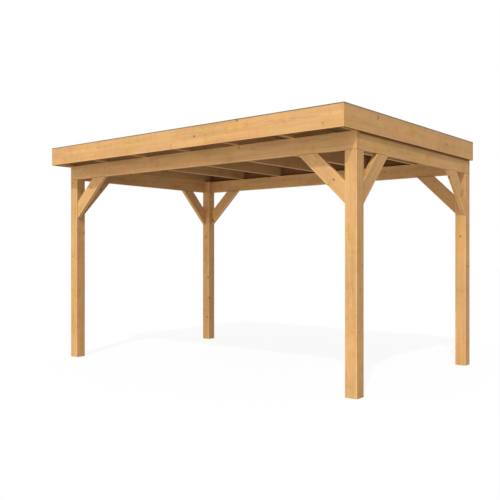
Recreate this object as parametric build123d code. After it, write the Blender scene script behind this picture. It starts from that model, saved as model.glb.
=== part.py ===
from build123d import *
import math
import os

# Free-standing garden veranda with a flat roof, in millimetres.
# Origin: ground level under the middle of the roof. +X runs along the long front, +Y to the back, +Z up.

# Roof outline, measured over the fascia boards
roof_length = 4000.0
roof_depth = 2700.0
front_overhang = 247.0  # from the front posts' front faces to the front fascia's outer face
fascia_thickness = 28.0
fascia_height = 199.0
fascia_lap = 6.0  # how far the fascia boards hang below the tops of the beams

# Frame
post_size = 118.0
passage_height = 2115.0  # from the ground to the underside of the beams
beam_thickness = 45.0
beam_height = 156.0

# Corner braces. The side braces are flush with the posts' outer faces
brace_drop = 462.0  # from the underside of the beams down to the brace's foot
row_brace_run = 492.0  # from the post along the front or back beam
side_brace_run = 435.0  # from the post along the side beam
row_brace_inset = 9.0  # from the posts' outer faces to the brace's outer face
brace_width = 138.0
brace_thickness = 45.0

# Rafters and roof deck
rafter_count = 7
rafter_thickness = 45.0
rafter_height = 145.0
deck_thickness = 18.0

# Roof sheet and the metal trim on top of the fascia boards
sheet_thickness = 1.5
trim_thickness = 2.0
trim_lip = 8.0

# Planed timber has its long edges rounded
post_rounding = 4.0
timber_rounding = 3.0

# Levels and lines that the pieces share
beam_top = passage_height + beam_height
rafter_top = beam_top + rafter_height
deck_top = rafter_top + deck_thickness
fascia_bottom = beam_top - fascia_lap
fascia_top = fascia_bottom + fascia_height
trim_top = fascia_top + trim_thickness
cover_depth = trim_thickness + fascia_thickness + sheet_thickness
frame_length = roof_length - 2 * fascia_thickness
front_line = -roof_depth / 2 + front_overhang
back_line = roof_depth / 2 - fascia_thickness
inner_depth = roof_depth - 2 * fascia_thickness
frame_right = frame_length / 2

SIDES = {"left": -1, "right": 1}
ROWS = {"front": -1, "back": 1}


def block(x_range, y_range, z_range):
    """A box between two X, two Y and two Z values."""
    size = [high - low for low, high in (x_range, y_range, z_range)]
    middle = [(low + high) / 2 for low, high in (x_range, y_range, z_range)]
    return Pos(*middle) * Box(*size)


def timber(x_range, y_range, z_range, grain):
    """A planed length of timber, with the four edges along its grain rounded."""
    piece = block(x_range, y_range, z_range)
    return fillet(piece.edges().filter_by(grain), timber_rounding)


def ordered(a, b):
    """Two values, the lower one first."""
    return (min(a, b), max(a, b))


def row_line(row):
    """The Y value of the outer faces of the front or back posts."""
    return front_line if row < 0 else back_line


def post(side, row):
    """A square post. Its head is cut back on both outer faces, so that the beams sit flush with its faces."""
    outer_x = side * frame_right
    outer_y = row_line(row)
    x_range = ordered(outer_x, outer_x - side * post_size)
    y_range = ordered(outer_y, outer_y - row * post_size)
    piece = block(x_range, y_range, (0, beam_top))
    piece = fillet(piece.edges().filter_by(Axis.Z), post_rounding)
    head = (passage_height, beam_top)
    seat_x = ordered(outer_x, outer_x - side * beam_thickness)
    seat_y = ordered(outer_y, outer_y - row * beam_thickness)
    return piece - block(x_range, seat_y, head) - block(seat_x, y_range, head)


def long_beam(row):
    """A front or back beam, over the whole length of the frame."""
    outer_y = row_line(row)
    y_range = ordered(outer_y, outer_y - row * beam_thickness)
    piece = block((-frame_right, frame_right), y_range, (passage_height, beam_top))
    corners = piece.edges().filter_by(Axis.Z).group_by(Axis.Y)[0 if row < 0 else -1]
    return fillet(piece.edges().filter_by(Axis.X) + corners, timber_rounding)


def side_beam(side):
    """A side beam, which butts against the backs of the front and back beams."""
    outer_x = side * frame_right
    x_range = ordered(outer_x, outer_x - side * beam_thickness)
    y_range = (front_line + beam_thickness, back_line - beam_thickness)
    return timber(x_range, y_range, (passage_height, beam_top), Axis.Y)


def brace(run):
    """A brace in the XZ plane, its post face on X = 0 and its top at the beams' underside, running towards +X."""
    length = math.hypot(run, brace_drop)
    inner_run = run - brace_width * length / brace_drop
    inner_drop = brace_drop - brace_width * length / run
    outline = Polyline(
        (0, passage_height - brace_drop),
        (run, passage_height),
        (inner_run, passage_height),
        (0, passage_height - inner_drop),
        close=True,
    )
    face = Plane.XZ * make_face(outline)
    piece = extrude(face, brace_thickness / 2, both=True)
    slope = Axis((0, 0, 0), (run, 0, brace_drop))
    return fillet(piece.edges().filter_by(slope), timber_rounding)


def row_brace(side, row):
    """A brace from a post to the front or back beam."""
    post_face = side * (frame_right - post_size)
    middle = row_line(row) - row * (row_brace_inset + brace_thickness / 2)
    turn = 180 if side > 0 else 0
    return Pos(post_face, middle, 0) * Rot(Z=turn) * brace(row_brace_run)


def side_brace(side, row):
    """A brace from a post to a side beam."""
    post_face = row_line(row) - row * post_size
    middle = side * (frame_right - brace_thickness / 2)
    turn = -90 if row > 0 else 90
    return Pos(middle, post_face, 0) * Rot(Z=turn) * brace(side_brace_run)


def rafter(index):
    """A rafter from the front fascia to the back fascia. The first and last one stand on the side beams."""
    spacing = (frame_length - rafter_thickness) / (rafter_count - 1)
    left = -frame_right + index * spacing
    y_range = (-inner_depth / 2, inner_depth / 2)
    return timber((left, left + rafter_thickness), y_range, (beam_top, rafter_top), Axis.Y)


def one_side(ring, along_x, sign):
    """The share of a ring round the roof that lies on one side, cut off at the mitred corners."""
    outer_x = roof_length / 2 + trim_thickness
    outer_y = roof_depth / 2 + trim_thickness
    inner_x = outer_x - cover_depth
    inner_y = outer_y - cover_depth
    if along_x:
        corners = [(-outer_x, outer_y), (outer_x, outer_y), (inner_x, inner_y), (-inner_x, inner_y)]
        corners = [(x, sign * y) for x, y in corners]
    else:
        corners = [(outer_x, -outer_y), (outer_x, outer_y), (inner_x, inner_y), (inner_x, -inner_y)]
        corners = [(sign * x, y) for x, y in corners]
    share = extrude(make_face(Polyline(*corners, close=True)), trim_top, dir=(0, 0, 1))
    return ring & share


def fascia_ring():
    """The four fascia boards in one, their lower edges and outer corners rounded."""
    half_x = roof_length / 2
    half_y = roof_depth / 2
    levels = (fascia_bottom, fascia_top)
    ring = block((-half_x, half_x), (-half_y, half_y), levels)
    ring = fillet(ring.edges().filter_by(Axis.Z), timber_rounding)
    ring = fillet(ring.edges().group_by(Axis.Z)[0], timber_rounding)
    return ring - block((-frame_right, frame_right), (-inner_depth / 2, inner_depth / 2), levels)


def trim_ring():
    """The metal trim in one: a flange over the fascia boards and the turned-up sheet, and a lip down the outside."""
    outer_x = roof_length / 2 + trim_thickness
    outer_y = roof_depth / 2 + trim_thickness
    inner_x = outer_x - cover_depth
    inner_y = outer_y - cover_depth
    levels = (trim_top - trim_lip, trim_top)
    ring = block((-outer_x, outer_x), (-outer_y, outer_y), levels)
    ring -= block((-inner_x, inner_x), (-inner_y, inner_y), levels)
    return ring - block(
        (-roof_length / 2, roof_length / 2),
        (-roof_depth / 2, roof_depth / 2),
        (trim_top - trim_lip, fascia_top),
    )


def roof_deck():
    """The boarded deck on the rafters, within the fascia boards."""
    y_range = (-inner_depth / 2, inner_depth / 2)
    return block((-frame_right, frame_right), y_range, (rafter_top, deck_top))


def roof_sheet():
    """The roof sheet on the deck, turned up against the fascia boards all round."""
    y_range = (-inner_depth / 2, inner_depth / 2)
    tray = block((-frame_right, frame_right), y_range, (deck_top, fascia_top))
    inner_x = frame_right - sheet_thickness
    inner_y = inner_depth / 2 - sheet_thickness
    hollow = block((-inner_x, inner_x), (-inner_y, inner_y), (deck_top + sheet_thickness, fascia_top))
    return tray - hollow


def build():
    """Every piece of the veranda, by its name."""
    pieces = {}
    fascias = fascia_ring()
    trims = trim_ring()
    for row_name, row in ROWS.items():
        for side_name, side in SIDES.items():
            corner = f"{row_name}_{side_name}"
            pieces[f"post_{corner}"] = post(side, row)
            pieces[f"row_brace_{corner}"] = row_brace(side, row)
            pieces[f"side_brace_{corner}"] = side_brace(side, row)
        pieces[f"beam_{row_name}"] = long_beam(row)
        pieces[f"fascia_{row_name}"] = one_side(fascias, True, row)
        pieces[f"edge_trim_{row_name}"] = one_side(trims, True, row)
    for side_name, side in SIDES.items():
        pieces[f"beam_{side_name}"] = side_beam(side)
        pieces[f"fascia_{side_name}"] = one_side(fascias, False, side)
        pieces[f"edge_trim_{side_name}"] = one_side(trims, False, side)
    for index in range(rafter_count):
        pieces[f"rafter_{index + 1}"] = rafter(index)
    pieces["roof_deck"] = roof_deck()
    pieces["roof_sheet"] = roof_sheet()
    return pieces


os.makedirs("parts", exist_ok=True)
for name, shape in build().items():
    export_step(shape, f"parts/{name}.step")
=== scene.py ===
import math
import random

import bmesh
import bpy
from mathutils import Matrix, Vector

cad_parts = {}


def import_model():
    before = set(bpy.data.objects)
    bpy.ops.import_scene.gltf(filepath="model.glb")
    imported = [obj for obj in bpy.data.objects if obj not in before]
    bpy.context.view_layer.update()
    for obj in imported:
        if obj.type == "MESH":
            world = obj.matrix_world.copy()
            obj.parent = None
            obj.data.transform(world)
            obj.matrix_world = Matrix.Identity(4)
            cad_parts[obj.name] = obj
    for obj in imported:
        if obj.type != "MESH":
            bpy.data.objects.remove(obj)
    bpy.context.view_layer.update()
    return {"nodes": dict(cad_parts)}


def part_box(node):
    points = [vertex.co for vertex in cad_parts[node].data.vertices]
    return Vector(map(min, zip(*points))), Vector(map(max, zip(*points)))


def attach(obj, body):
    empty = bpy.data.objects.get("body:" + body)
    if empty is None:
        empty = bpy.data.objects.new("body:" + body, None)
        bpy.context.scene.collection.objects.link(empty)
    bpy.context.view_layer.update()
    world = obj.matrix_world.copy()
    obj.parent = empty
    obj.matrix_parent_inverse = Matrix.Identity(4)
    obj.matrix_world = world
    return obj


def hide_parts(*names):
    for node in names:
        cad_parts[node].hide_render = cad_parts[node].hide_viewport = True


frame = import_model()
luck = random.Random(11)

X_AXIS = Vector((1, 0, 0))
Y_AXIS = Vector((0, 1, 0))
Z_AXIS = Vector((0, 0, 1))

# Colours and tints, as linear red, green, blue and alpha
WHITE = (1, 1, 1, 1)
EARLY_WOOD = (0.705, 0.405, 0.168, 1)
LATE_WOOD = (0.555, 0.293, 0.108, 1)
PINK_TINT = (1.0, 0.93, 0.9, 1)
YELLOW_TINT = (0.97, 1.0, 0.86, 1)
FIGURE_TINT = (0.97, 0.87, 0.72, 1)
# A painted highlight on the long edges
EDGE_HIGHLIGHT_TINT = (1.32, 1.38, 1.45, 1)
END_TINT = (0.94, 0.9, 0.85, 1)
# Painted shade, at the joints and on the fascia boards' undersides and inner faces
JOINT_SHADE_TINT = (0.32, 0.25, 0.2, 1)
HALO_TINT = (0.8, 0.62, 0.45, 1)
KNOT_DARK = (0.19, 0.082, 0.027, 1)
KNOT_PALE = (0.4, 0.17, 0.055, 1)
RIND_COLOUR = (0.13, 0.05, 0.018, 1)
CHECK_COLOUR = (0.12, 0.05, 0.02, 1)
SCREW_DULL = (0.42, 0.33, 0.18, 1)
SCREW_BRIGHT = (0.6, 0.5, 0.3, 1)
SHEET_CLEAN = (0.034, 0.033, 0.033, 1)
SHEET_DUSTY = (0.06, 0.057, 0.052, 1)
TRIM_CLEAN = (0.22, 0.18, 0.1, 1)
TRIM_SOILED = (0.16, 0.13, 0.07, 1)
FLOOR_COLOUR = (0.95, 0.95, 0.95, 1)

# Scales of the timber's noises, per metre: along the grain, over the width and over the thickness
PITH_SCALE = (0.9, 3, 3)
FINE_SCALE = (5, 60, 60)
FIBRE_SCALE = (9, 900, 900)
STREAK_SCALE = (1.3, 34, 34)
PATCH_SCALE = (2.2, 9, 9)
HUE_SCALE = (3.4, 5, 5)
FIGURE_SCALE = (15, 10, 10)
KNOT_RIM_SCALE = 90

# The timber's growth, in metres and per metre
SEED_SHIFT = (3.1, 7.7, 5.3)
KNOT_SEED_SHIFT = 9.3
PITH_WANDER = 0.06
RINGS_PER_METRE = 230.0
KNOT_CELLS_PER_METRE = 3.4
KNOTLESS_SHARE = 0.79
KNOT_LEAN = 0.2
KNOT_LEAST_RADIUS = 0.003
KNOT_RADIUS_SPREAD = 0.008
KNOT_RIM_WOBBLE = 0.005
KNOT_RIM_BLUR = 0.0012
RIND_WIDTH = 0.002
HALO_WIDTH = 0.022
RING_SWELL = 0.007
CHECK_WIDTH = 0.0009
# The painted highlight on the long edges begins this far from a face and is full at the next, in metres
EDGE_HIGHLIGHT_REACH = 0.0075
EDGE_HIGHLIGHT_FULL = 0.003
GRAIN_RELIEF = 0.0006
TIMBER_GLOSS = 0.2

# How the timbers differ from each other: where the pith lies, in metres, and how pale they are
PITH_INSIDE = 0.02
PITH_ASIDE = 0.03
PITH_BEYOND = (0.05, 0.09)
TONE_RANGE = (0.97, 1.03)
# The rafters are darkened a little, as painted shade under the roof
RAFTER_SHADED_TONE = 0.85
# The deck boards are darkened much further, as painted shade under the roof
BOARD_SHADED_TONE = 0.2
BOARD_TONE_SPREAD = 0.06

# How dark the painted shade at the joints is, and the width of the painted shade band under the fascia
# boards
JOINT_SHADE_SHARE = 0.65
PAINTED_SHADE_BAND = 0.03

# Measures of the frame, in metres
BEAM_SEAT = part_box("beam_front")[0].z
BRACE_WIDTH = 0.138
BOARD_COUNT = 22
BOARD_GROOVE = 0.004

# A screw head, as rings from its rim inwards: radius, rise over the wood and depth of the star's lobes
SCREW_RINGS = (
    (0.0045, -0.0005, 0),
    (0.0044, 0.0003, 0),
    (0.0022, 0.0004, 0.0005),
    (0.0018, 0.0001, 0.0005),
)
SCREW_STEPS = 24
STAR_POINTS = 6

# The screws' distances from the edges and ends of the timbers, in metres
FASCIA_SCREW_EDGE = 0.035
FASCIA_SCREW_END = 0.12
SIDE_SCREW_PAIRS = 5
BEAM_SCREW_EDGE = 0.04
BEAM_SCREW_ASIDE = 0.022
BRACE_SCREW_ENDS = (0.07, 0.115)

# Strengths of the light from all round and of the floor's own glow
AMBIENT = 0.43
FLOOR_GLOW = 1.03
FLOOR_SHADING = 0.13


class Graph:
    """Short calls that add shader nodes to one tree."""

    def __init__(self, tree):
        self.tree = tree

    def feed(self, node, inputs):
        """Sets a node's inputs, each to a value or to another node's output."""
        for key, value in inputs.items():
            if isinstance(value, bpy.types.NodeSocket):
                self.tree.links.new(value, node.inputs[key])
            else:
                node.inputs[key].default_value = value

    def add(self, kind, inputs=None, **settings):
        node = self.tree.nodes.new("ShaderNode" + kind)
        for key, value in settings.items():
            setattr(node, key, value)
        self.feed(node, inputs or {})
        return node

    def math(self, operation, a, b=0.0, c=0.0, clamp=False):
        return self.add("Math", {0: a, 1: b, 2: c}, operation=operation, use_clamp=clamp).outputs[0]

    def plus(self, a, b, clamp=False):
        return self.math("ADD", a, b, clamp=clamp)

    def minus(self, a, b, clamp=False):
        return self.math("SUBTRACT", a, b, clamp=clamp)

    def times(self, first, *others):
        for other in others:
            first = self.math("MULTIPLY", first, other)
        return first

    def over(self, a, b):
        return self.math("DIVIDE", a, b)

    def scaled(self, value, factor, offset):
        return self.math("MULTIPLY_ADD", value, factor, offset)

    def size(self, value):
        return self.math("ABSOLUTE", value)

    def larger(self, a, b):
        return self.math("MAXIMUM", a, b)

    def above(self, value, limit):
        """1 where a value is greater than a limit, and 0 elsewhere."""
        return self.math("GREATER_THAN", value, limit)

    def hypot(self, a, b):
        return self.math("SQRT", self.plus(self.times(a, a), self.times(b, b)))

    def vector(self, operation, a, b=(0, 0, 0)):
        node = self.add("VectorMath", {0: a, 1: b}, operation=operation)
        return node.outputs["Value" if operation == "DOT_PRODUCT" else "Vector"]

    def join(self, x, y, z):
        return self.add("CombineXYZ", {"X": x, "Y": y, "Z": z}).outputs[0]

    def split(self, v):
        return self.add("SeparateXYZ", {0: v}).outputs

    def place(self):
        """A point's place in the object's own frame."""
        return self.add("TexCoord").outputs["Object"]

    def noise(self, point, scale, detail=2.0, roughness=0.5):
        """Noise with one scale, or with three along the axes."""
        scale = scale if isinstance(scale, tuple) else (scale, scale, scale)
        scaled = self.vector("MULTIPLY", point, scale)
        inputs = {"Vector": scaled, "Scale": 1.0, "Detail": detail, "Roughness": roughness}
        return self.add("TexNoise", inputs).outputs

    def ramp(self, value, low, high, to_low=0.0, to_high=1.0):
        """A smooth step of value from low to high."""
        inputs = {"Value": value, "From Min": low, "From Max": high, "To Min": to_low, "To Max": to_high}
        return self.add("MapRange", inputs, interpolation_type="SMOOTHSTEP").outputs["Result"]

    def mix(self, share, a, b, blend="MIX"):
        node = self.add("Mix", {0: share, 6: a, 7: b}, data_type="RGBA", blend_type=blend)
        return node.outputs[2]

    def tint(self, share, colour, tint):
        """A colour multiplied by a tint, where share is 1."""
        return self.mix(share, colour, tint, "MULTIPLY")

    def bump(self, height, strength, distance):
        inputs = {"Height": height, "Strength": strength, "Distance": distance}
        return self.add("Bump", inputs).outputs[0]


def empty_graph(owner):
    """The graph of a material or world, with all its nodes taken out."""
    owner.use_nodes = True
    owner.node_tree.nodes.clear()
    return Graph(owner.node_tree)


def from_pith(g, given, moved):
    """A point's offsets from the pith over the width and the thickness, and its distance from the pith."""
    # The pith wanders, so that the rings open into arches on the flat faces
    wander = g.vector("SUBTRACT", g.noise(moved, PITH_SCALE)["Color"], (0.5, 0.5, 0.5))
    wander = g.split(g.vector("MULTIPLY", wander, (0, PITH_WANDER, PITH_WANDER)))
    point = g.split(given["Point"])
    across = g.minus(g.plus(point[1], wander[1]), given["Pith Y"])
    through = g.minus(g.plus(point[2], wander[2]), given["Pith Z"])
    return across, through, g.hypot(across, through)


def knot_masks(g, given, moved, across, through, radius):
    """Where knots are, where their rinds are, and where the wood bends round them."""
    # Knots are branches that run outwards from the pith, so each is a cell of length and direction
    place = g.times(g.split(given["Point"])[0], KNOT_CELLS_PER_METRE)
    place = g.plus(place, g.times(given["Seed"], KNOT_SEED_SHIFT))
    safe_radius = g.larger(radius, 0.0005)
    rim = g.join(place, g.over(across, safe_radius), g.over(through, safe_radius))
    cells = g.add("TexVoronoi", {"Vector": rim, "Scale": 1.0, "Randomness": 1.0}, feature="F1").outputs
    centre_x, centre_y, centre_z = g.split(cells["Position"])
    chance, spread, _ = g.add("SeparateColor", {0: cells["Color"]}).outputs

    # The distance from the branch's middle line, sideways and lengthways
    aside = g.minus(g.times(across, centre_z), g.times(through, centre_y))
    aside = g.over(aside, g.larger(g.hypot(centre_y, centre_z), 0.05))
    along = g.over(g.minus(place, centre_x), KNOT_CELLS_PER_METRE)
    along = g.minus(along, g.times(radius, KNOT_LEAN))
    wobble = g.scaled(g.noise(moved, KNOT_RIM_SCALE)["Fac"], KNOT_RIM_WOBBLE, -KNOT_RIM_WOBBLE / 2)
    away = g.plus(g.hypot(aside, along), wobble)

    present = g.above(chance, KNOTLESS_SHARE)
    knot_radius = g.times(g.scaled(spread, KNOT_RADIUS_SPREAD, KNOT_LEAST_RADIUS), present)
    inside = g.minus(knot_radius, away)
    knot = g.times(g.ramp(inside, -KNOT_RIM_BLUR, KNOT_RIM_BLUR), present)
    rind = g.times(g.ramp(g.size(inside), RIND_WIDTH, 0.2 * RIND_WIDTH), present)
    halo = g.times(g.ramp(inside, -HALO_WIDTH, 0.0), present)
    return knot, rind, halo


def late_wood(g, given, radius, fine, halo):
    """The dark late wood of the growth rings, which are pushed outwards round each knot."""
    rings = g.plus(g.plus(radius, g.times(halo, RING_SWELL)), g.scaled(fine, 0.003, -0.0015))
    uneven = g.noise(g.join(g.times(rings, 45.0), given["Seed"], 0.0), 1, 1.0)["Fac"]
    phase = g.math("FRACT", g.plus(g.times(rings, RINGS_PER_METRE), g.times(uneven, 2.2)))
    return g.times(g.ramp(phase, 0.25, 0.9), g.ramp(phase, 1.0, 0.93))


def drying_checks(g, given, fine, across, through):
    """Drying checks, open from the pith to one face."""
    away = g.size(g.scaled(fine, 0.006, g.plus(across, -0.003)))
    x = g.split(given["Point"])[0]
    run = g.ramp(g.noise(g.join(g.times(x, 2.1), given["Seed"], 0.0), 1, 1.0)["Fac"], 0.55, 0.62)
    crack = g.ramp(away, CHECK_WIDTH, CHECK_WIDTH / 3)
    return g.times(crack, g.above(through, 0.0), run, given["Checks"])


def painted_edge_highlight(g, given, streak):
    """A painted highlight along the rounded long edges."""
    _, y, z = g.split(given["Point"])
    near_y = g.ramp(g.minus(given["Half Y"], g.size(y)), EDGE_HIGHLIGHT_REACH, EDGE_HIGHLIGHT_FULL)
    near_z = g.ramp(g.minus(given["Half Z"], g.size(z)), EDGE_HIGHLIGHT_REACH, EDGE_HIGHLIGHT_FULL)
    return g.times(near_y, near_z, g.ramp(streak, 0.2, 0.55, 0.45, 1.0))


def timber_group():
    """Planed softwood, as a group of nodes. X runs along the grain, Y over the width, Z through it."""
    tree = bpy.data.node_groups.new("timber", "ShaderNodeTree")
    values = ("Pith Y", "Pith Z", "Half Y", "Half Z", "Seed", "Tone", "Checks", "End", "Joint Shade")
    sockets = {
        "INPUT": {"Point": "Vector", **dict.fromkeys(values, "Float")},
        "OUTPUT": {"Color": "Color", "Roughness": "Float", "Height": "Float"},
    }
    for in_out, kinds in sockets.items():
        for name, kind in kinds.items():
            tree.interface.new_socket(name, in_out=in_out, socket_type="NodeSocket" + kind)
    g = Graph(tree)
    given = tree.nodes.new("NodeGroupInput").outputs
    shift = g.vector("MULTIPLY", g.join(given["Seed"], given["Seed"], given["Seed"]), SEED_SHIFT)
    moved = g.vector("ADD", given["Point"], shift)

    across, through, radius = from_pith(g, given, moved)
    knot, rind, halo = knot_masks(g, given, moved, across, through, radius)
    fine = g.noise(moved, FINE_SCALE, 3.0)["Fac"]
    late = late_wood(g, given, radius, fine, halo)
    check = drying_checks(g, given, fine, across, through)
    fibre = g.noise(moved, FIBRE_SCALE, 3.0, 0.65)["Fac"]
    streak = g.noise(moved, STREAK_SCALE, 3.0)["Fac"]
    patch = g.noise(moved, PATCH_SCALE)["Fac"]
    figure = g.noise(moved, FIGURE_SCALE, 3.0, 0.6)["Fac"]
    pink, _, warm = g.add("SeparateColor", {0: g.noise(moved, HUE_SCALE, 1.0)["Color"]}).outputs

    # Clear wood, with its fibres, streaks and broad patches
    colour = g.mix(g.times(late, 0.42), EARLY_WOOD, LATE_WOOD)
    colour = g.tint(g.ramp(pink, 0.42, 0.72), colour, PINK_TINT)
    colour = g.tint(g.ramp(warm, 0.48, 0.72), colour, YELLOW_TINT)
    colour = g.tint(g.ramp(figure, 0.48, 0.72), colour, FIGURE_TINT)
    level = g.times(g.scaled(fibre, 0.22, 0.89), g.scaled(streak, 0.42, 0.79))
    level = g.times(level, g.scaled(patch, 0.36, 0.82), given["Tone"])
    colour = g.tint(1.0, colour, g.join(level, level, level))
    # A painted highlight along the rounded long edges
    colour = g.tint(painted_edge_highlight(g, given, streak), colour, EDGE_HIGHLIGHT_TINT)

    # Knots, drying checks, the painted shade at the joints and on the fascia boards, and the darker end
    # grain
    colour = g.tint(g.times(halo, 0.22), colour, HALO_TINT)
    colour = g.mix(g.times(knot, 0.85), colour, g.mix(g.ramp(fine, 0.35, 0.7), KNOT_DARK, KNOT_PALE))
    colour = g.mix(g.times(rind, 0.6), colour, RIND_COLOUR)
    colour = g.mix(g.times(check, 0.75), colour, CHECK_COLOUR)
    colour = g.tint(given["Joint Shade"], colour, JOINT_SHADE_TINT)
    colour = g.tint(given["End"], colour, END_TINT)

    # Late wood and knots are smoother, and end grain is rougher
    roughness = g.plus(g.scaled(late, -0.1, 0.7), g.scaled(streak, 0.16, -0.08))
    roughness = g.plus(roughness, g.times(given["End"], 0.2))
    roughness = g.minus(roughness, g.times(knot, 0.12), clamp=True)
    height = g.scaled(late, 0.35, g.times(fibre, 0.5))
    height = g.minus(height, g.times(check, 2.5))
    height = g.plus(height, g.times(knot, 0.3))

    result = tree.nodes.new("NodeGroupOutput")
    g.feed(result, {"Color": colour, "Roughness": roughness, "Height": height})
    return tree


TIMBER = timber_group()


def new_material(name):
    """An empty material, with its graph and its shader."""
    material = bpy.data.materials.new(name)
    g = empty_graph(material)
    shader = g.add("BsdfPrincipled")
    g.add("OutputMaterial", {"Surface": shader.outputs[0]})
    return material, g, shader


def timber_shader(g, shader, point, values, grain):
    """Drives a shader with the timber pattern. grain is the direction of the fibres."""
    facing = g.size(g.vector("DOT_PRODUCT", g.add("NewGeometry").outputs["Normal"], tuple(grain)))
    given = {**values, "Point": point, "End": g.ramp(facing, 0.6, 0.8)}
    wood = g.add("Group", node_tree=TIMBER)
    g.feed(wood, given)
    g.feed(shader, {
        "Base Color": wood.outputs["Color"],
        "Roughness": wood.outputs["Roughness"],
        "Specular IOR Level": TIMBER_GLOSS,
        "Normal": g.bump(wood.outputs["Height"], 0.35, GRAIN_RELIEF),
    })


def near(g, value, place, reach=0.005):
    """1 within 1 mm of a place, down to 0 at the reach from it."""
    return g.ramp(g.size(g.minus(value, place)), reach, 0.001)


def between(g, value, low, high):
    """1 where a coordinate lies between two values."""
    return g.times(g.above(value, low), g.math("LESS_THAN", value, high))


def post_painted_shade(g, name, x, y, z):
    """Painted shade along the beams' seats, on the post's outer faces."""
    low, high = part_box(name)
    outer_x = (low if "left" in name else high).x
    outer_y = (low if "front" in name else high).y
    outside = g.larger(near(g, x, outer_x), near(g, y, outer_y))
    return g.times(near(g, z, BEAM_SEAT), outside, JOINT_SHADE_SHARE)


def brace_painted_shade(g, name, x, y, z):
    """Painted shade along the brace's two cut ends."""
    low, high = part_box(name)
    along_x = name.startswith("row")
    from_low = "left" in name if along_x else "front" in name
    foot = (low if from_low else high).dot(X_AXIS if along_x else Y_AXIS)
    ends = g.larger(near(g, z, BEAM_SEAT), near(g, x if along_x else y, foot))
    return g.times(ends, JOINT_SHADE_SHARE)


def beam_painted_shade(g, name, x, y, z):
    """Painted shade where the beam stands on posts and braces, and a painted shade band on a side beam's
    outer face under the fascia board.
    """
    along_x = name in ("beam_front", "beam_back")
    axis = X_AXIS if along_x else Y_AXIS
    first = "row_brace_front_left" if along_x else "side_brace_front_right"
    last = "row_brace_front_right" if along_x else "side_brace_back_right"
    low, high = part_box(first)
    run, drop = (high - low).dot(axis), (high - low).z
    bearing = BRACE_WIDTH * math.hypot(run, drop) / drop
    start, end = low.dot(axis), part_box(last)[1].dot(axis)
    half_span = (end - start) / 2
    from_middle = g.size(g.minus(x if along_x else y, (start + end) / 2))
    over_post = g.above(from_middle, half_span)
    over_brace = between(g, from_middle, half_span - run, half_span - run + bearing)
    below = g.times(near(g, z, BEAM_SEAT), g.larger(over_post, over_brace), JOINT_SHADE_SHARE)
    if along_x:
        return below
    beam_low, beam_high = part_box(name)
    outside = near(g, x, (beam_low if name == "beam_left" else beam_high).x)
    fascia_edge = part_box("fascia_left")[0].z
    return g.larger(below, g.times(near(g, z, fascia_edge, PAINTED_SHADE_BAND), outside))


def fascia_painted_shade(g, name, x, y, z):
    """Painted shade on the fascia board's underside and its inner face."""
    low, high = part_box(name)
    inner = {"front": (y, high.y), "back": (y, low.y), "left": (x, high.x), "right": (x, low.x)}
    across, place = inner[name.split("_")[1]]
    return g.larger(near(g, z, low.z, 0.002), near(g, across, place, 0.002))


def painted_joint_shade(g, name):
    """1 where shade is painted on a timber, at its joints and on and under the fascia boards, and 0
    elsewhere. The rafters have none.
    """
    kind = "brace" if "brace" in name else name.split("_")[0]
    lines = {"post": post_painted_shade, "brace": brace_painted_shade, "beam": beam_painted_shade, "fascia": fascia_painted_shade}
    if kind not in lines:
        return 0.0
    return lines[kind](g, name, *g.split(g.place()))


def timber_material(name, centre, axes, half, pith, tone, checks):
    """The material of one timber. axes are the directions of its grain, its width and its thickness."""
    material, g, shader = new_material(name)
    place = g.vector("SUBTRACT", g.place(), tuple(centre))
    point = g.join(*[g.vector("DOT_PRODUCT", place, tuple(axis)) for axis in axes])
    values = {
        "Pith Y": pith[0],
        "Pith Z": pith[1],
        "Half Y": half[1],
        "Half Z": half[2],
        "Seed": luck.uniform(0, 10),
        "Tone": tone,
        "Checks": checks,
        "Joint Shade": painted_joint_shade(g, name),
    }
    timber_shader(g, shader, point, values, axes[0])
    return material


def straight_timber(name):
    """Centre, axes and half sizes of a timber that lies along X, Y or Z."""
    low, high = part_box(name)
    size = high - low
    order = sorted(range(3), key=lambda i: -size[i])
    units = (X_AXIS, Y_AXIS, Z_AXIS)
    return (low + high) / 2, [units[i] for i in order], [size[i] / 2 for i in order]


def sloping_timber(name):
    """Centre, axes and half sizes of a brace, which slopes up from its post to a beam."""
    low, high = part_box(name)
    size = high - low
    if name.startswith("row"):
        thick = Y_AXIS
        away = X_AXIS if "left" in name else -X_AXIS
    else:
        thick = X_AXIS
        away = Y_AXIS if "front" in name else -Y_AXIS
    run = abs(size.dot(away))
    length = math.hypot(run, size.z)
    grain = (away * run + Z_AXIS * size.z) / length
    width = (Z_AXIS * run - away * size.z) / length
    centre = (low + high) / 2 + width * (BRACE_WIDTH / 2)
    return centre, [grain, width, thick], [length / 2, BRACE_WIDTH / 2, size.dot(thick) / 2]


def put(obj, material):
    """Gives an object one material in place of those that it has."""
    obj.data.materials.clear()
    obj.data.materials.append(material)


def dress_timbers():
    """Gives each post, beam, brace, rafter and fascia board its own wood."""
    for name, obj in sorted(frame["nodes"].items()):
        kind = name.split("_")[0]
        if kind in ("roof", "edge"):
            continue
        sloping = "brace" in name
        centre, axes, half = sloping_timber(name) if sloping else straight_timber(name)
        # Posts and braces are cut with the pith inside, and all other timbers beside it
        if kind == "post" or sloping:
            pith = (luck.uniform(-PITH_INSIDE, PITH_INSIDE), luck.uniform(-PITH_INSIDE, PITH_INSIDE))
        else:
            aside = luck.uniform(-PITH_ASIDE, PITH_ASIDE)
            pith = (aside, luck.choice((-1, 1)) * luck.uniform(*PITH_BEYOND))
        # Rafters are darkened as painted shade under the roof
        tone = luck.uniform(*TONE_RANGE) * (RAFTER_SHADED_TONE if kind == "rafter" else 1.0)
        checks = 1.0 if kind == "post" else 0.0
        put(obj, timber_material(name, centre, axes, half, pith, tone, checks))


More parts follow.
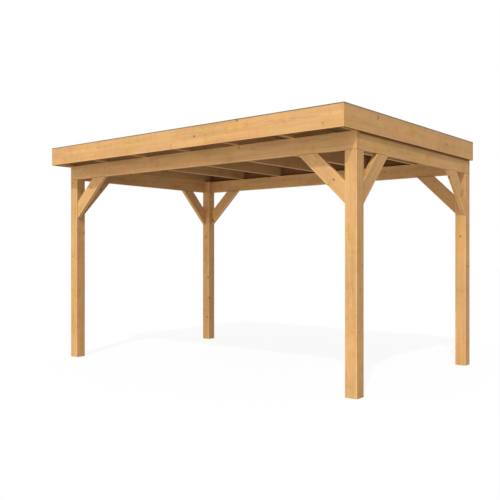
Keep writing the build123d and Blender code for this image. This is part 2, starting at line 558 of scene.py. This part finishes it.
def mesh_object(name, bm, material):
    """A new object from a bmesh, with one material."""
    mesh = bpy.data.meshes.new(name)
    bm.to_mesh(mesh)
    bm.free()
    obj = bpy.data.objects.new(name, mesh)
    bpy.context.scene.collection.objects.link(obj)
    put(obj, material)
    return obj


def new_piece(name, bm, material):
    """A new piece from a bmesh, which rides on the frame."""
    bmesh.ops.recalc_face_normals(bm, faces=bm.faces)
    obj = mesh_object(name, bm, material)
    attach(obj, "root")
    return obj


def deck_board_material(low, pitch):
    """Wood for the deck boards, darkened as painted shade under the roof."""
    material, g, shader = new_material("deck_boards")
    x, y, z = g.split(g.place())
    across = g.over(g.minus(y, low.y), pitch)
    index = g.math("FLOOR", across)
    local_y = g.times(g.minus(g.math("FRACT", across), 0.5), pitch)
    shade = g.add("TexWhiteNoise", {"W": index}, noise_dimensions="1D").outputs["Value"]
    point = g.join(g.scaled(shade, 7.0, x), local_y, g.minus(z, low.z))
    values = {
        "Pith Y": g.scaled(shade, 0.06, -0.03),
        "Pith Z": g.scaled(shade, 0.05, 0.04),
        "Half Y": pitch / 2,
        "Half Z": 0.02,
        "Seed": g.times(index, 0.37),
        "Tone": g.scaled(shade, BOARD_TONE_SPREAD, BOARD_SHADED_TONE),
        "Checks": 0.0,
        "Joint Shade": 0.0,
    }
    timber_shader(g, shader, point, values, X_AXIS)
    return material


def deck_boards():
    """The boards of the roof deck, with a V joint between each two on the underside."""
    low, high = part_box("roof_deck")
    pitch = (high.y - low.y) / BOARD_COUNT
    bm = bmesh.new()
    for index in range(BOARD_COUNT):
        near_y, far_y = low.y + index * pitch, low.y + (index + 1) * pitch
        outline = [
            (near_y, high.z),
            (near_y, low.z + BOARD_GROOVE),
            (near_y + BOARD_GROOVE, low.z),
            (far_y - BOARD_GROOVE, low.z),
            (far_y, low.z + BOARD_GROOVE),
            (far_y, high.z),
        ]
        ends = [[bm.verts.new((end, y, z)) for y, z in outline] for end in (low.x, high.x)]
        bm.faces.new(ends[0])
        bm.faces.new(ends[1][::-1])
        for i in range(len(outline)):
            j = (i + 1) % len(outline)
            bm.faces.new((ends[0][j], ends[0][i], ends[1][i], ends[1][j]))
    obj = new_piece("deck_boards", bm, deck_board_material(low, pitch))
    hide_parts("roof_deck")


def screw_head(bm, place, normal):
    """A countersunk screw head with a star recess, 9 mm across and almost flush with the wood."""
    turn = normal.to_track_quat("Z", "Y").to_matrix().to_4x4()
    matrix = Matrix.Translation(place) @ turn
    rings = []
    for radius, rise, lobes in SCREW_RINGS:
        ring = []
        for i in range(SCREW_STEPS):
            angle = 2 * math.pi * i / SCREW_STEPS
            r = radius + lobes * math.cos(STAR_POINTS * angle)
            ring.append(bm.verts.new(matrix @ Vector((r * math.cos(angle), r * math.sin(angle), rise))))
        rings.append(ring)
    for outer, inner in zip(rings, rings[1:]):
        for i in range(SCREW_STEPS):
            j = (i + 1) % SCREW_STEPS
            bm.faces.new((outer[i], outer[j], inner[j], inner[i]))
    bm.faces.new(rings[-1])


def fascia_screws():
    """Places and directions of the screws through the fascia boards into the rafters."""
    front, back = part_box("fascia_front")[0].y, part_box("fascia_back")[1].y
    for name in sorted(frame["nodes"]):
        if name.startswith("rafter"):
            low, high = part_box(name)
            middle = (low.x + high.x) / 2
            for z in (low.z + FASCIA_SCREW_EDGE, high.z - FASCIA_SCREW_EDGE):
                yield Vector((middle, front, z)), -Y_AXIS
                yield Vector((middle, back, z)), Y_AXIS
    left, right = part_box("fascia_left")[0].x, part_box("fascia_right")[1].x
    low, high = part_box("rafter_1")
    spacing = (high.y - low.y - 2 * FASCIA_SCREW_END) / (SIDE_SCREW_PAIRS - 1)
    for step in range(SIDE_SCREW_PAIRS):
        y = low.y + FASCIA_SCREW_END + step * spacing
        for z in (low.z + FASCIA_SCREW_EDGE, high.z - FASCIA_SCREW_EDGE):
            yield Vector((left, y, z)), -X_AXIS
            yield Vector((right, y, z)), X_AXIS


def beam_screws():
    """Places and directions of the screws through the beams into the posts' heads."""
    for row, row_normal in (("front", -Y_AXIS), ("back", Y_AXIS)):
        beam_low, beam_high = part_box(f"beam_{row}")
        outer_y = (beam_low if row == "front" else beam_high).y
        for side, side_normal in (("left", -X_AXIS), ("right", X_AXIS)):
            post_low, post_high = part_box(f"post_{row}_{side}")
            middle = (post_low + post_high) / 2
            side_low, side_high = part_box(f"beam_{side}")
            outer_x = (side_low if side == "left" else side_high).x
            x = middle.x - side_normal.x * BEAM_SCREW_ASIDE
            y = middle.y - row_normal.y * BEAM_SCREW_ASIDE
            for z in (beam_low.z + BEAM_SCREW_EDGE, beam_high.z - BEAM_SCREW_EDGE):
                yield Vector((x, outer_y, z)), row_normal
                yield Vector((outer_x, y, z)), side_normal


def brace_screws():
    """Places and directions of the screws through the braces' lower faces."""
    for name in sorted(frame["nodes"]):
        if "brace" in name:
            centre, (grain, width, _), (half_length, half_width, _) = sloping_timber(name)
            for end in (-1, 1):
                for inset in BRACE_SCREW_ENDS:
                    place = centre - width * half_width + grain * end * (half_length - inset)
                    yield place, -width


def screw_material():
    """Zinc-plated steel, with a yellow tinge."""
    material, g, shader = new_material("screws")
    tarnish = g.noise(g.place(), 700)["Fac"]
    g.feed(shader, {
        "Base Color": g.mix(tarnish, SCREW_DULL, SCREW_BRIGHT),
        "Roughness": g.ramp(tarnish, 0.2, 0.8, 0.3, 0.5),
        "Metallic": 0.8,
    })
    return material


def screws():
    """All the screws, as one piece."""
    bm = bmesh.new()
    for places in (fascia_screws(), beam_screws(), brace_screws()):
        for place, normal in places:
            screw_head(bm, place, normal)
    new_piece("screws", bm, screw_material())


def sheet_material():
    """A black rubber roof sheet, slightly wrinkled, with dust where water has stood."""
    material, g, shader = new_material("roof_sheet")
    place = g.place()
    dust = g.noise(place, 1.1, 5.0, 0.55)["Fac"]
    grit = g.noise(place, 160, 3.0)["Fac"]
    wrinkle = g.noise(place, (1.3, 5, 5), 3.0, 0.55)["Fac"]
    shade = g.times(g.ramp(dust, 0.3, 0.8), g.ramp(grit, 0.25, 0.75, 0.5, 1.0))
    g.feed(shader, {
        "Base Color": g.mix(shade, SHEET_CLEAN, SHEET_DUSTY),
        "Roughness": g.ramp(shade, 0.0, 1.0, 0.72, 0.88),
        "Specular IOR Level": 0.25,
        "Normal": g.bump(g.scaled(grit, 0.02, wrinkle), 0.4, 0.01),
    })
    return material


def trim_material():
    """Painted metal, olive brown, with a fine grain and slight soiling."""
    material, g, shader = new_material("edge_trim")
    place = g.place()
    soil = g.noise(place, 4, 4.0)["Fac"]
    grain = g.noise(place, 500)["Fac"]
    g.feed(shader, {
        "Base Color": g.mix(g.ramp(soil, 0.35, 0.75), TRIM_CLEAN, TRIM_SOILED),
        "Roughness": g.ramp(grain, 0.2, 0.8, 0.38, 0.52),
        "Normal": g.bump(grain, 0.1, 0.0003),
    })
    return material


def camera():
    """The photograph's view: eye height 1.2 m, level, from the front right."""
    data = bpy.data.cameras.new("camera")
    data.sensor_width = 36.0
    data.lens = 50.51
    data.shift_y = 0.0082
    data.clip_end = 200.0
    obj = bpy.data.objects.new("camera", data)
    obj.location = (5.0285, -6.2428, 1.225)
    obj.rotation_euler = (math.radians(90), 0, math.radians(39.387))
    bpy.context.scene.collection.objects.link(obj)
    bpy.context.scene.camera = obj


def sun(name, travel, strength, angle):
    """A light from far away. travel is the direction of its rays, and angle its apparent size in degrees."""
    data = bpy.data.lights.new(name, "SUN")
    data.energy = strength
    data.angle = math.radians(angle)
    obj = bpy.data.objects.new(name, data)
    obj.rotation_mode = "QUATERNION"
    obj.rotation_quaternion = Vector(travel).to_track_quat("-Z", "Y")
    bpy.context.scene.collection.objects.link(obj)


def seen_rays(g):
    """1 for rays from the camera, mirror images and clear materials, and 0 for rays that carry light."""
    path = g.add("LightPath").outputs
    seen = g.plus(path["Is Camera Ray"], path["Is Glossy Ray"])
    return g.plus(seen, path["Is Transmission Ray"], clamp=True)


def world():
    """White behind the object, and an even soft light on it."""
    scene_world = bpy.data.worlds.new("world")
    bpy.context.scene.world = scene_world
    g = empty_graph(scene_world)
    light = g.add("Background", {"Color": WHITE, "Strength": AMBIENT}).outputs[0]
    white = g.add("Background", {"Color": WHITE, "Strength": 1.0}).outputs[0]
    both = g.add("MixShader", {0: seen_rays(g), 1: light, 2: white}).outputs[0]
    g.add("OutputWorld", {"Surface": both})


def floor():
    """A plain pale floor that keeps a soft shadow of the object and casts no light on it."""
    material = bpy.data.materials.new("floor")
    g = empty_graph(material)
    clear = g.add("BsdfTransparent").outputs[0]
    shaded = g.add("BsdfDiffuse", {"Color": FLOOR_COLOUR}).outputs[0]
    glow = g.add("Emission", {"Color": WHITE, "Strength": FLOOR_GLOW}).outputs[0]
    pale = g.add("MixShader", {0: FLOOR_SHADING, 1: glow, 2: shaded}).outputs[0]
    both = g.add("MixShader", {0: seen_rays(g), 1: clear, 2: pale}).outputs[0]
    g.add("OutputMaterial", {"Surface": both})
    bm = bmesh.new()
    bmesh.ops.create_grid(bm, x_segments=1, y_segments=1, size=60.0)
    mesh_object("floor", bm, material)


camera()
dress_timbers()
deck_boards()
screws()
put(frame["nodes"]["roof_sheet"], sheet_material())
metal = trim_material()
for side in ("front", "back", "left", "right"):
    put(frame["nodes"][f"edge_trim_{side}"], metal)
sun("key", (-0.5, 1.0, -1.07), 1.58, 2.0)
sun("front_fill", (0, 1.0, -0.15), 1.05, 100.0)
sun("low_fill", (0, 1.0, 0.35), 0.28, 80.0)
world()
floor()
bpy.context.scene.view_settings.view_transform = "Standard"
